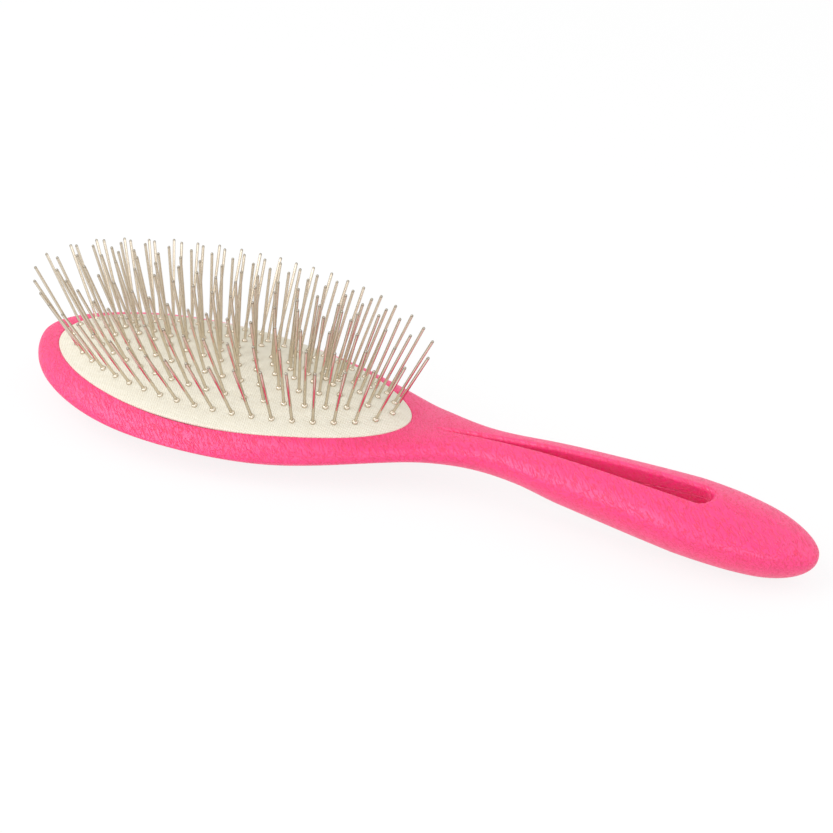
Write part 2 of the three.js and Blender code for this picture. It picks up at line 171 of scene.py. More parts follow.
# ---- Values that follow -------------------------------------------------------------------------

PAD_HALF_LENGTH = PAD_LENGTH / 2
PAD_HALF_WIDTH = PAD_WIDTH / 2
HEAD_HALF_LENGTH = PAD_HALF_LENGTH + TOE_RIM_WIDTH
HEAD_HALF_WIDTH = PAD_HALF_WIDTH + RIM_WIDTH
SLOT_HALF_WIDTH = SLOT_WIDTH / 2
SHOULDER_REACH = PAD_HALF_LENGTH - SHOULDER_BEFORE_PAD_END
THROAT_REACH = PAD_HALF_LENGTH + PAD_END_TO_THROAT
NECK_REACH = PAD_HALF_LENGTH + PAD_END_TO_NECK
ARCH_REACH = NECK_REACH + NECK_TO_ARCH
GRIP_REACH = NECK_REACH + NECK_TO_GRIP
HEEL_REACH = GRIP_REACH + GRIP_TO_HEEL
HANDLE_REACH = HEEL_REACH + HEEL_TO_END
SLOT_END = HANDLE_REACH - SLOT_TO_HANDLE_END
SLOT_START = PAD_HALF_LENGTH + PAD_END_TO_SLOT
SLOT_ROUND_CENTRE = SLOT_END - SLOT_HALF_WIDTH
OVERALL_LENGTH = HEAD_HALF_LENGTH + HANDLE_REACH
PAD_CENTRE_X = HEAD_HALF_LENGTH - OVERALL_LENGTH / 2
RING_ROWS = round((PAD_HALF_WIDTH - EDGE_MARGIN) / ROW_STEP)

# Fineness of the meshes.
TOE_STATIONS = 16
PAD_STATIONS = 200
NECK_STATIONS = 22
SLOT_STATIONS = 110
SLOT_ROUND_STATIONS = 18
END_STATIONS = 46
ROUND_STEPS = 6
TOP_COLUMNS = 40
BACK_COLUMNS = 44
OVAL_STEPS = 2 * PAD_STATIONS
CROWN_STEPS = 46
DOME_STEPS = OVAL_STEPS // 4
DOME_RINGS = 12
SLOT_OUTLINE_STEPS = 39
WIRE_SIDES = 14
WIRE_STEPS = 9
COLLAR_STEPS = 9
TIP_STEPS = 6
ARC_SAMPLES = 1440
CHUNK = 4000  # points whose distances are worked out at a time
WELD_DISTANCE = 0.002
SPECK_LENGTH = 0.001  # shorter edges are dissolved

ROUND_SHARE = 0.3  # of the width beside an opening, what its rounded edge takes at most
TINY = 1e-9  # keeps a division from dividing by 0, and a comparison from missing its end
SEED = 7  # of the wires' tilts and bows


# ---- Curves -------------------------------------------------------------------------------------


def smooth_line(pairs):
    """A smooth line through (place, value) pairs, held level beyond both ends."""
    places, values = np.array(pairs, float).T
    secants = np.diff(values) / np.diff(places)
    slopes = np.concatenate([secants[:1], (secants[:-1] + secants[1:]) / 2, secants[-1:]])

    def at(x):
        x = np.clip(x, places[0], places[-1])
        i = np.clip(np.searchsorted(places, x, side="right") - 1, 0, len(places) - 2)
        step = places[i + 1] - places[i]
        p = (x - places[i]) / step
        start = values[i] * (1 + 2 * p) * (1 - p) ** 2 + slopes[i] * step * p * (1 - p) ** 2
        end = values[i + 1] * p * p * (3 - 2 * p) + slopes[i + 1] * step * p * p * (p - 1)
        return start + end

    return at


def plan_swell(x, half_length):
    """What widens the oval toward the toe and draws it in toward both ends."""
    return 1 - TOE_SWELL * x / PAD_HALF_LENGTH - END_TAPER * (x / half_length) ** 2


def face_height(x):
    """Height of the rim's inner edge, which sweeps up to both ends of the pad."""
    return RIM_HEIGHT + FACE_RISE * (x / PAD_HALF_LENGTH) ** 2


def head_plan(x):
    inside = np.maximum(1 - (x / HEAD_HALF_LENGTH) ** 2, 0)
    return HEAD_HALF_WIDTH * np.sqrt(inside) * plan_swell(x, HEAD_HALF_LENGTH)


handle_plan = smooth_line(
    [
        (SHOULDER_REACH - FLOW_STEP, head_plan(SHOULDER_REACH - FLOW_STEP)),
        (SHOULDER_REACH, head_plan(SHOULDER_REACH)),
        (NECK_REACH, NECK_WIDTH / 2),
        (GRIP_REACH, GRIP_WIDTH / 2),
        (HEEL_REACH, HEEL_WIDTH / 2),
    ]
)

top_line = smooth_line(
    [
        (-PAD_HALF_LENGTH, face_height(PAD_HALF_LENGTH) + PAD_END_CROWN),
        (-PAD_HALF_LENGTH / 2, face_height(PAD_HALF_LENGTH / 2) + RIM_CROWN),
        (0, RIM_HEIGHT + RIM_CROWN),
        (PAD_HALF_LENGTH / 2, face_height(PAD_HALF_LENGTH / 2) + RIM_CROWN),
        (PAD_HALF_LENGTH, face_height(PAD_HALF_LENGTH) + PAD_END_CROWN),
        (SLOT_START, SLOT_TOP_HEIGHT),
        (GRIP_REACH, GRIP_TOP_HEIGHT),
        (SLOT_END, HEEL_TOP_HEIGHT),
        (HANDLE_REACH, END_TOP_HEIGHT),
    ]
)

back_line = smooth_line(
    [
        (-HEAD_HALF_LENGTH, TOE_UNDERSIDE),
        (-PAD_HALF_LENGTH / 2, -REST_DEPTH),
        (0, -REST_DEPTH),
        (PAD_HALF_LENGTH / 2, -REST_DEPTH),
        (THROAT_REACH, THROAT_UNDERSIDE),
        (ARCH_REACH, ARCH_UNDERSIDE),
        (GRIP_REACH, GRIP_UNDERSIDE),
        (HEEL_REACH + HEEL_TO_REST, -HEEL_REST_DEPTH),
        (HANDLE_REACH, END_UNDERSIDE),
    ]
)


def from_head_to_handle(head, handle, shoulder=None):
    """A value that holds along the head, changes past the shoulder and holds along the handle."""
    at_pad_end = [] if shoulder is None else [(PAD_HALF_LENGTH, shoulder)]
    before = [(-HEAD_HALF_LENGTH, head), (SHOULDER_REACH, head)]
    return smooth_line(before + at_pad_end + [(ARCH_REACH, handle), (HANDLE_REACH, handle)])


widest_share = from_head_to_handle(HEAD_WIDEST_SHARE, HANDLE_WIDEST_SHARE)
top_flatness = from_head_to_handle(HEAD_TOP_FLATNESS, HANDLE_TOP_FLATNESS, SHOULDER_TOP_FLATNESS)
top_steepness = from_head_to_handle(
    HEAD_TOP_STEEPNESS, HANDLE_TOP_STEEPNESS, SHOULDER_TOP_STEEPNESS
)
back_flatness = from_head_to_handle(HEAD_BACK_FLATNESS, HANDLE_BACK_FLATNESS)
back_steepness = from_head_to_handle(HEAD_BACK_STEEPNESS, HANDLE_BACK_STEEPNESS)


def body_half_width(x):
    along = np.clip((x - HEEL_REACH) / (HANDLE_REACH - HEEL_REACH), 0, 1)
    heel = HEEL_WIDTH / 2 * np.sqrt(1 - along**END_FULLNESS)
    behind_head = np.where(x <= HEEL_REACH, handle_plan(x), heel)
    return np.where(x <= SHOULDER_REACH, head_plan(x), behind_head)


def body_heights(x):
    """Top, widest line and back of the body at a place along it."""
    from_toe = (HEAD_HALF_LENGTH + x) / END_ROUNDING
    from_end = (HANDLE_REACH - x) / END_ROUNDING
    nearest = np.clip(1 - np.minimum(from_toe, from_end), 0, 1)
    keep = np.sqrt(1 - nearest**END_FULLNESS)
    tip = np.where(x < 0, TOE_TIP_HEIGHT, HANDLE_TIP_HEIGHT)
    top = tip + (top_line(x) - tip) * keep
    back = tip + (back_line(x) - tip) * keep
    return top, top - (top - back) * widest_share(x), back


def slot_half_width(x):
    """Half width of the slot: it swells from its point and closes round."""
    share = np.clip((x - SLOT_START) / (SLOT_ROUND_CENTRE - SLOT_START), 0, 1)
    side = SLOT_HALF_WIDTH * np.sin(math.pi / 2 * share**SLOT_TAPER)
    past = np.clip((x - SLOT_ROUND_CENTRE) / SLOT_HALF_WIDTH, 0, 1)
    return side * np.sqrt(1 - past**2)


def pad_half_width(x):
    inside = np.maximum(1 - (x / PAD_HALF_LENGTH) ** 2, 0)
    return PAD_HALF_WIDTH * np.sqrt(inside) * plan_swell(x, PAD_HALF_LENGTH)


def oval_half_length(share):
    """Ovals nest from the pad's edge, share 0, to the crest line, share 1."""
    return PAD_HALF_LENGTH - share * (PAD_HALF_LENGTH - RIDGE_LENGTH / 2)


def oval_half_width(share):
    return PAD_HALF_WIDTH * (1 - share)


def crown_at(share):
    """How far the cloth stands above the face at one of the nested ovals."""
    return CROWN_HEIGHT * (1 - (1 - share) ** CROWN_FULLNESS)


def oval_points(half_length, half_width, angles):
    x = half_length * np.cos(angles)
    return x, half_width * np.sin(angles) * plan_swell(x, half_length)


# ---- Meshes -------------------------------------------------------------------------------------


def object_from(name, points, faces, smooth=True, marks=None):
    """A mesh object from points in millimetres about the middle of the pad, moved to the record's
    origin. Marks are one value a point, kept under the tip mark's attribute name; they show where
    a dark reflection is painted on the wires' ends."""
    placed = (np.asarray(points, float) + (PAD_CENTRE_X, 0, 0)) * MM
    mesh = bpy.data.meshes.new(name)
    mesh.from_pydata(placed.tolist(), [], [list(map(int, face)) for face in faces])
    if marks is not None:
        layer = mesh.attributes.new(PAINTED_TIP_MARK, "FLOAT", "POINT")
        layer.data.foreach_set("value", np.asarray(marks, np.float32))
    work = bmesh.new()
    work.from_mesh(mesh)
    bmesh.ops.remove_doubles(work, verts=work.verts, dist=WELD_DISTANCE * MM)
    bmesh.ops.dissolve_degenerate(work, edges=work.edges, dist=SPECK_LENGTH * MM)
    bmesh.ops.recalc_face_normals(work, faces=work.faces)
    work.to_mesh(mesh)
    work.free()
    if smooth:
        mesh.shade_smooth()
    piece = bpy.data.objects.new(name, mesh)
    bpy.context.scene.collection.objects.link(piece)
    return piece


def grid_faces(rows, columns, start=0, wrap=False):
    """Quads of a grid of points laid out row by row."""
    quads = columns if wrap else columns - 1
    i, j = np.meshgrid(np.arange(rows - 1), np.arange(quads), indexing="ij")
    here = start + i * columns + j
    right = start + i * columns + (j + 1) % columns
    return np.stack([here, right, right + columns, here + columns], -1).reshape(-1, 4)


def mesh_from_rings(name, rings, smooth=True):
    """A closed mesh from a loop of rings that have as many points each."""
    grid = np.stack(rings)
    faces = grid_faces(*grid.shape[:2], wrap=True)
    return object_from(name, grid.reshape(-1, 3), faces, smooth)


def polyline_distance(x, y, line):
    """Least distance in plan from points to a polyline."""
    a, b = line[:-1], line[1:]
    span = b - a
    length = np.maximum((span**2).sum(1), TINY**2)
    flat = np.stack([x.ravel(), y.ravel()], 1)
    best = np.full(len(flat), np.inf)
    for part in range(0, len(flat), CHUNK):
        here = flat[part : part + CHUNK, None, :]
        t = np.clip(((here - a) * span).sum(2) / length, 0, 1)
        gap = np.linalg.norm(here - a - t[..., None] * span, axis=2)
        best[part : part + CHUNK] = gap.min(1)
    return best.reshape(x.shape)


def round_off(distance, radius):
    """How far a surface falls beside an edge that is rounded with a quarter circle."""
    inward = np.clip(1 - distance / radius, 0, 1)
    return radius * (1 - np.sqrt(1 - inward**2))


def eased(steps):
    """Shares from 0 to 1 that crowd together at 0."""
    return 1 - np.cos(np.pi / 2 * np.linspace(0, 1, steps + 1))


# ---- Body: head and handle ----------------------------------------------------------------------


def body_stations():
    """Places along the body: crowded at its tips, at the pad's ends and at the slot's ends."""
    near = eased(ROUND_STEPS)[1:] * RIM_EDGE_ROUND
    near_slot = eased(ROUND_STEPS)[1:] * SLOT_EDGE_ROUND
    toe = -HEAD_HALF_LENGTH + eased(TOE_STATIONS) * (TOE_RIM_WIDTH - RIM_EDGE_ROUND)
    pad = -PAD_HALF_LENGTH * np.cos(np.linspace(0, np.pi, PAD_STATIONS + 1))
    neck_start = PAD_HALF_LENGTH + RIM_EDGE_ROUND
    neck = np.linspace(neck_start, SLOT_START - SLOT_EDGE_ROUND, NECK_STATIONS)
    slot = np.linspace(SLOT_START, SLOT_ROUND_CENTRE, SLOT_STATIONS + 1)
    turn = np.sin(np.linspace(0, np.pi / 2, SLOT_ROUND_STATIONS + 1))[1:]
    end = HANDLE_REACH - eased(END_STATIONS)[::-1] * (HANDLE_REACH - SLOT_END - SLOT_EDGE_ROUND)
    return np.concatenate(
        [
            toe[:-1],
            (-PAD_HALF_LENGTH - near)[::-1],
            pad,
            PAD_HALF_LENGTH + near[:-1],
            neck,
            (SLOT_START - near_slot)[::-1][1:],
            slot,
            SLOT_ROUND_CENTRE + turn * SLOT_HALF_WIDTH,
            SLOT_END + near_slot[:-1],
            end,
        ]
    )


def opening_half_width(x):
    """Half width of the pad's opening or of the slot at each station."""
    in_pad = np.abs(x) <= PAD_HALF_LENGTH
    return np.where(in_pad, pad_half_width(x), slot_half_width(x))


def across(x, inner, radius, flatness, steepness, columns):
    """Half a cross-section from an opening's edge to the widest line: y, and share of height."""
    width = np.maximum(body_half_width(x), 0)
    rounding = np.minimum(radius, ROUND_SHARE * np.maximum(width - inner, 0))
    edge = inner[:, None] + rounding[:, None] * eased(ROUND_STEPS)[None]
    start = np.clip(edge[:, -1] / np.maximum(width, TINY), 0, 1)
    first = np.arccos(start ** (flatness / 2))
    angle = first[:, None] * (1 - np.linspace(0, 1, columns + 1)[None, 1:])
    rest = width[:, None] * np.cos(angle) ** (2 / flatness[:, None])
    y = np.concatenate([edge, rest], 1)
    inside = np.clip(y / np.maximum(width, TINY)[:, None], 0, 1)
    return y, np.clip(1 - inside ** flatness[:, None], 0, 1) ** (1 / steepness[:, None])


def pad_outline():
    x, y = oval_points(PAD_HALF_LENGTH, PAD_HALF_WIDTH, np.linspace(0, np.pi, PAD_STATIONS + 1))
    return np.stack([x, y], 1)


def slot_outline():
    side = np.linspace(SLOT_START, SLOT_ROUND_CENTRE, SLOT_STATIONS + 1)
    turn = np.sin(np.linspace(0, np.pi / 2, SLOT_OUTLINE_STEPS + 1))[1:]
    x = np.concatenate([side, SLOT_ROUND_CENTRE + SLOT_HALF_WIDTH * turn])
    return np.stack([x, slot_half_width(x)], 1)


def body_skin(x, side):
    """Grids of points of one half of the outer skin: its top and its back."""
    top, widest, back = body_heights(x)
    inner = opening_half_width(x)
    point = [SLOT_START, SLOT_START + SLOT_POINT_LENGTH]
    by_slot = np.interp(x, point, [SLOT_POINT_ROUND, SLOT_EDGE_ROUND])
    rounding = np.where(x < SLOT_START - 2 * SLOT_POINT_ROUND, RIM_EDGE_ROUND, by_slot)
    y, rise = across(x, inner, rounding, top_flatness(x), top_steepness(x), TOP_COLUMNS)
    z = widest[:, None] + (top - widest)[:, None] * rise
    wide = np.broadcast_to(x[:, None], y.shape)
    z = z - round_off(polyline_distance(wide, y, pad_outline()), RIM_EDGE_ROUND)
    z = z - round_off(polyline_distance(wide, y, slot_outline()), by_slot[:, None])
    upper = np.stack([wide, side * y, z], -1)

    through = np.where(x >= SLOT_START, inner, 0)
    back_round = np.full_like(x, SLOT_BACK_ROUND)
    y, rise = across(x, through, back_round, back_flatness(x), back_steepness(x), BACK_COLUMNS)
    z = widest[:, None] - (widest - back)[:, None] * rise
    wide = np.broadcast_to(x[:, None], y.shape)
    z = z + round_off(polyline_distance(wide, y, slot_outline()), SLOT_BACK_ROUND)
    lower = np.stack([wide, side * y, np.maximum(z, 0)], -1)
    return upper, lower[:, ::-1]


def slot_wall(upper, lower, side):
    """The slot's wall between its two rounded edges, with the parting line of the mould on it."""
    depth = SEAM_DEPTH + SEAM_FALL * np.maximum(SLOT_ROUND_CENTRE - upper[:, 0, 0], 0)
    seam = upper[:, 0, 2] - np.minimum(depth, (upper[:, 0, 2] - lower[:, -1, 2]) / 2)
    # Across the seam: height in seam widths, and share of its depth.
    shape = [(1.0, 0.0), (0.5, 0.0), (0.5, 1.0), (-0.5, 1.0), (-0.5, 0.0), (-1.0, 0.0)]
    rows = [upper[:, 0]]
    for part in (0.25, 0.5, 0.75):
        row = upper[:, 0].copy()
        row[:, 2] += (seam + SEAM_WIDTH - upper[:, 0, 2]) * part
        rows.append(row)
    for height, sunk in shape:
        row = upper[:, 0].copy()
        row[:, 2] = seam + height * SEAM_WIDTH
        row[:, 1] += side * sunk * np.minimum(SEAM_SUNK, np.abs(row[:, 1]) * 0.5)
        rows.append(row)
    below_seam = rows[-1]
    for part in (0.2, 0.4, 0.6, 0.8, 1.0):
        row = below_seam.copy()
        row[:, 2] += (lower[:, -1, 2] - below_seam[:, 2]) * part
        rows.append(row)
    return np.stack(rows, 1)


def pocket_hoops(rim_height):
    """The pocket under the pad as rings: down its wall, round the groove and over its floor."""
    angles = np.linspace(0, 2 * np.pi, OVAL_STEPS, endpoint=False)

    def ring(share=0.0, push=0.0, drop=0.0, z=None):
        width = np.maximum(oval_half_width(share) + push, 0)
        x, y = oval_points(oval_half_length(share) + push, width, angles)
        return np.stack([x, y, face_height(x) - drop if z is None else z], 1)

    groove_floor = GROOVE_BELOW_FACE + GROOVE_HEIGHT
    rings = [
        ring(z=rim_height),
        ring(drop=GROOVE_BELOW_FACE),
        ring(push=GROOVE_DEPTH, drop=GROOVE_BELOW_FACE),
        ring(push=GROOVE_DEPTH, drop=groove_floor),
        ring(drop=groove_floor),
        ring(drop=POCKET_DEPTH),
    ]
    rings += [ring(share=share, drop=POCKET_DEPTH) for share in (0.2, 0.4, 0.6, 0.8, 1.0)]
    return rings


def handle_shell():
    """Head and handle in one skin, welded along the middle and along the pad's edge."""
    x = body_stations()
    points = []
    faces = []
    count = 0

    def add(grid, wrap=False):
        nonlocal count
        rows, columns = grid.shape[:2]
        points.append(grid.reshape(-1, 3))
        faces.append(grid_faces(rows, columns, count, wrap))
        count += rows * columns

    in_slot = (x >= SLOT_START - TINY) & (x <= SLOT_END + TINY)
    in_pad = np.abs(x) <= PAD_HALF_LENGTH + TINY
    for side in (1, -1):
        upper, lower = body_skin(x, side)
        add(np.concatenate([upper, lower[:, 1:]], 1))
        add(slot_wall(upper[in_slot], lower[in_slot], side))
        rim = upper[in_pad, 0, 2]
    rim_height = np.concatenate([rim[::-1], rim[1:-1]])
    add(np.stack(pocket_hoops(rim_height)), wrap=True)
    return object_from("handle_shell", np.concatenate(points), np.concatenate(faces))


# ---- Pins: places and directions ----------------------------------------------------------------


def share_of_row(row):
    """Which of the nested ovals carries a row of pins, the outer one being row 0."""
    return (EDGE_MARGIN + row * ROW_STEP) / PAD_HALF_WIDTH


def row_feet(row):
    """Feet of one oval row, evenly spaced along it; rows alternate about the centre line."""
    share = share_of_row(row)
    angles = np.linspace(0, 2 * np.pi, ARC_SAMPLES + 1)
    x, y = oval_points(oval_half_length(share), oval_half_width(share), angles)
    along = np.concatenate([[0], np.cumsum(np.hypot(np.diff(x), np.diff(y)))])
    count = round(along[-1] / PIN_PITCH)
    wanted = along[-1] * (np.arange(count) + (row % 2) / 2) / count
    feet = zip(np.interp(wanted, along, x), np.interp(wanted, along, y))
    return [(fx, fy, share) for fx, fy in feet]


def crest_feet():
    """Feet of the straight row along the crest line."""
    count = int(RIDGE_LENGTH / PIN_PITCH) + 1
    return [((i - (count - 1) / 2) * PIN_PITCH, 0.0, 1.0) for i in range(count)]


def pin_direction(x, y):
    """Pins fan out from the middle of the pad. The leans are those of the outer row."""
    outer = share_of_row(0)
    along = abs(x / oval_half_length(outer)) ** FAN_POWER
    slope = -TOE_LEAN * along if x < 0 else HANDLE_LEAN * along
    return Vector((slope, SIDE_LEAN * y / oval_half_width(outer), 1)).normalized()


ROWS = [row_feet(row) for row in range(RING_ROWS)]
ROWS[-1] = ROWS[-1] + crest_feet()
ALL_FEET = np.array([foot for row in ROWS for foot in row])


# ---- Cushion and cloth --------------------------------------------------------------------------


def dimples(x, y):
    """How far the cloth is drawn down round the pins' feet."""
    drop = np.zeros_like(x)
    for fx, fy, _ in ALL_FEET:
        near = ((x - fx) ** 2 + (y - fy) ** 2) / DIMPLE_RADIUS**2
        drop = np.maximum(drop, DIMPLE_DEPTH * np.exp(-near))
    return drop


def edge_lift(x, inward):
    """How far the cloth rises above the pocket's face so that its edge meets the rim's."""
    top, widest, _ = body_heights(x)
    share = np.clip(pad_half_width(x) / np.maximum(head_plan(x), TINY), 0, 1)
    rise = (1 - share ** top_flatness(x)) ** (1 / top_steepness(x))
    rim = widest + (top - widest) * rise
    return np.maximum(rim - face_height(x), 0) * np.maximum(1 - inward / CLOTH_EDGE_REACH, 0)


def cloth_rings(under):
    """Rings of the cloth's top from its tucked edge to the crest, or of its underside."""
    angles = np.linspace(0, 2 * np.pi, OVAL_STEPS, endpoint=False)
    rings = []
    for a in np.linspace(0, np.pi / 2, ROUND_STEPS + 1):
        push = -CLOTH_EDGE_ROUND * (1 - np.cos(a))
        x, y = oval_points(PAD_HALF_LENGTH + push, PAD_HALF_WIDTH + push, angles)
        rise = crown_at(-push / PAD_HALF_WIDTH) + edge_lift(x, -push)
        rise -= CLOTH_EDGE_ROUND * (1 - np.sin(a))
        rings.append(np.stack([x, y, face_height(x) + rise], 1))
    first = CLOTH_EDGE_ROUND / PAD_HALF_WIDTH
    for share in np.linspace(first, 1, CROWN_STEPS + 1)[1:]:
        x, y = oval_points(oval_half_length(share), oval_half_width(share), angles)
        lift = edge_lift(x, share * PAD_HALF_WIDTH)
        rings.append(np.stack([x, y, face_height(x) + crown_at(share) + lift], 1))
    for ring in rings:
        ring[:, 2] -= CLOTH_THICKNESS if under else dimples(ring[:, 0], ring[:, 1])
    return rings


def cloth_pad():
    return mesh_from_rings("cloth_pad", cloth_rings(False)[::-1] + cloth_rings(True))


def rubber_dome():
    """The membrane under the cloth, and the skirt that goes down the pocket's wall."""
    angles = np.linspace(0, 2 * np.pi, DOME_STEPS, endpoint=False)

    def ring(share=0.0, push=0.0, drop=0.0, flat=False):
        width = np.maximum(oval_half_width(share) + push, 0)
        x, y = oval_points(oval_half_length(share) + push, width, angles)
        return np.stack([x, y, face_height(x) + (0 if flat else crown_at(share)) - drop], 1)

    top = CLOTH_THICKNESS + CLEARANCE
    under = top + RUBBER_THICKNESS
    skirt = GROOVE_BELOW_FACE + CLEARANCE
    shares = np.linspace(1, 0, DOME_RINGS + 1)
    rings = [ring(share=share, drop=top) for share in shares[:-1]]
    rings.append(ring(push=-CLEARANCE, drop=top, flat=True))
    rings.append(ring(push=-CLEARANCE, drop=skirt, flat=True))
    rings.append(ring(push=-CLEARANCE - SKIRT_THICKNESS, drop=skirt, flat=True))
    inner = (SKIRT_THICKNESS + 2 * CLEARANCE) / PAD_HALF_WIDTH
    rings += [ring(share=share, drop=under) for share in np.linspace(inner, 1, DOME_RINGS)]
    return mesh_from_rings("rubber_dome", rings)


def rubber_bead():
    """The bead that holds the cushion in the head's groove."""
    angles = np.linspace(0, 2 * np.pi, DOME_STEPS, endpoint=False)
    upper = GROOVE_BELOW_FACE + 2 * CLEARANCE
    lower = GROOVE_BELOW_FACE + GROOVE_HEIGHT - CLEARANCE
    rings = []
    for push, drop in (
        (-CLEARANCE - SKIRT_THICKNESS, upper),
        (GROOVE_DEPTH - CLEARANCE, upper),
        (GROOVE_DEPTH - CLEARANCE, lower),
        (-CLEARANCE - SKIRT_THICKNESS, lower),
    ):
        x, y = oval_points(PAD_HALF_LENGTH + push, PAD_HALF_WIDTH + push, angles)
        rings.append(np.stack([x, y, face_height(x) - drop], 1))
    return mesh_from_rings("rubber_bead", rings + rings[:1], smooth=False)


# ---- Wires --------------------------------------------------------------------------------------


def wire_profile():
    """Height and radius along a pin: low domed collar, drawn wire, rounded tip."""
    wire = WIRE_DIAMETER / 2
    sunk = -DIMPLE_DEPTH
    tucked = sunk - COLLAR_TUCK
    profile = [(-WIRE_ROOT, wire), (tucked, wire), (tucked, COLLAR_RADIUS * COLLAR_FOOT)]
    for a in np.linspace(COLLAR_START, math.pi / 2, COLLAR_STEPS):
        height = COLLAR_HEIGHT * (COLLAR_BAND + (1 - COLLAR_BAND) * math.sin(a))
        profile.append((sunk + height, wire + (COLLAR_RADIUS - wire) * math.cos(a)))
    neck = sunk + COLLAR_HEIGHT + COLLAR_NECK
    heights = np.linspace(neck, PIN_LENGTH - TIP_LENGTH, WIRE_STEPS)
    for height in [*heights, PIN_LENGTH - TIP_LENGTH / 2]:
        profile.append((height, wire))
    for a in np.linspace(0, math.pi / 2, TIP_STEPS):
        height = PIN_LENGTH - TIP_ROUND * (1 - math.sin(a))
        profile.append((height, wire - TIP_ROUND * (1 - math.cos(a))))
    return profile


def pins(name, feet, chance):
    """All the pins of one row as round wires, each a little out of true."""
    profile = wire_profile()
    angles = np.linspace(0, 2 * np.pi, WIRE_SIDES, endpoint=False)
    heights = np.repeat([height for height, _ in profile], WIRE_SIDES)
    # 1 on the last part of each wire, where a dark reflection is painted
    marks = np.clip((heights - PIN_LENGTH + TIP_LENGTH) / TIP_LENGTH * 2, 0, 1)
    points = []
    faces = []
    for x, y, share in feet:
        along = pin_direction(x, y)
        tilt = chance.normal(0, WIRE_TILT, 2)
        along = (along + Vector((tilt[0], tilt[1], 0))).normalized()
        side = Vector((0, 1, 0)).cross(along).normalized()
        third = along.cross(side)
        bow = Vector(chance.uniform(-1, 1, 3) * WIRE_BEND)
        foot = Vector((x, y, face_height(x) + crown_at(share)))
        start = sum(len(part) for part in points)
        rings = []
        for height, radius in profile:
            middle = foot + along * height + bow * (max(height, 0) / PIN_LENGTH) ** 2
            for a in angles:
                out = side * (radius * math.cos(a)) + third * (radius * math.sin(a))
                rings.append(middle + out)
        points.append(np.array(rings))
        faces += grid_faces(len(profile), WIRE_SIDES, start, wrap=True).tolist()
        faces.append(list(range(start + WIRE_SIDES - 1, start - 1, -1)))
        last = start + (len(profile) - 1) * WIRE_SIDES
        faces.append(list(range(last, last + WIRE_SIDES)))
    return object_from(name, np.concatenate(points), faces, marks=np.tile(marks, len(feet)))


# ---- Materials ----------------------------------------------------------------------------------


class Paint:
    """Builds one node material round a Principled shader."""

    def __init__(self, name):
        self.material = bpy.data.materials.new(name)
        self.material.use_nodes = True
        self.tree = self.material.node_tree
        self.shader = self.tree.nodes["Principled BSDF"]

    def node(self, kind, inputs=(), **settings):
        node = self.tree.nodes.new(kind)
        for key, value in settings.items():
            setattr(node, key, value)
        for key, value in dict(inputs).items():
            self.join(value, node.inputs[key])
        return node

    def join(self, value, socket):
        if isinstance(value, bpy.types.NodeSocket):
            self.tree.links.new(value, socket)
        else:
            socket.default_value = value

    def place(self):
        return self.node("ShaderNodeTexCoord").outputs["Object"]

    def mapped(self, turn, scale):
        """The place on the piece, turned and then scaled."""
        turned = self.node("ShaderNodeMapping", {"Vector": self.place(), "Rotation": turn})
        sized = self.node("ShaderNodeMapping", {"Vector": turned.outputs[0], "Scale": scale})
        return sized.outputs[0]

    def noise(self, vector, scale, detail, roughness=0.5, distortion=0.0):
        """Noise with about scale cells a metre, or with the cells of a mapped vector."""
        inputs = {
            "Vector": vector,
            "Scale": scale,
            "Detail": detail,
            "Roughness": roughness,
            "Distortion": distortion,
        }
        return self.node("ShaderNodeTexNoise", inputs).outputs["Fac"]

    def math(self, operation, a, b=0.0):
        return self.node("ShaderNodeMath", {0: a, 1: b}, operation=operation).outputs[0]

    def ramp(self, value, low, high, to_low=0.0, to_high=1.0):
        inputs = {
            "Value": value,
            "From Min": low,
            "From Max": high,
            "To Min": to_low,
            "To Max": to_high,
        }
        return self.node("ShaderNodeMapRange", inputs).outputs[0]

    def mix(self, share, a, b):
        node = self.node("ShaderNodeMix", data_type="RGBA")
        self.join(share, node.inputs["Factor"])
        self.join(a, node.inputs[6])
        self.join(b, node.inputs[7])
        return node.outputs[2]

    def crease(self, value, width):
        """0 on the thin lines where a noise passes its middle, 1 away from them."""
        return self.ramp(self.math("ABSOLUTE", self.math("SUBTRACT", value, 0.5)), 0.0, width)

    def bump(self, height, distance, strength, after=None):
        inputs = {"Height": height, "Distance": distance, "Strength": strength}
        if after is not None:
            inputs["Normal"] = after
        return self.node("ShaderNodeBump", inputs).outputs[0]

    def set(self, **values):
        names = {
            "color": "Base Color",
            "roughness": "Roughness",
            "normal": "Normal",
            "metallic": "Metallic",
            "specular": "Specular IOR Level",
            "tint": "Specular Tint",
        }
        for key, value in values.items():
            self.join(value, self.shader.inputs[names[key]])
        return self.material


def linear(channel):
    share = channel / 255
    return share / 12.92 if channel <= 10 else ((share + 0.055) / 1.055) ** 2.4


def srgb(red, green, blue):
    """A colour of 0 to 255 as a shader wants it."""
    return linear(red), linear(green), linear(blue), 1.0


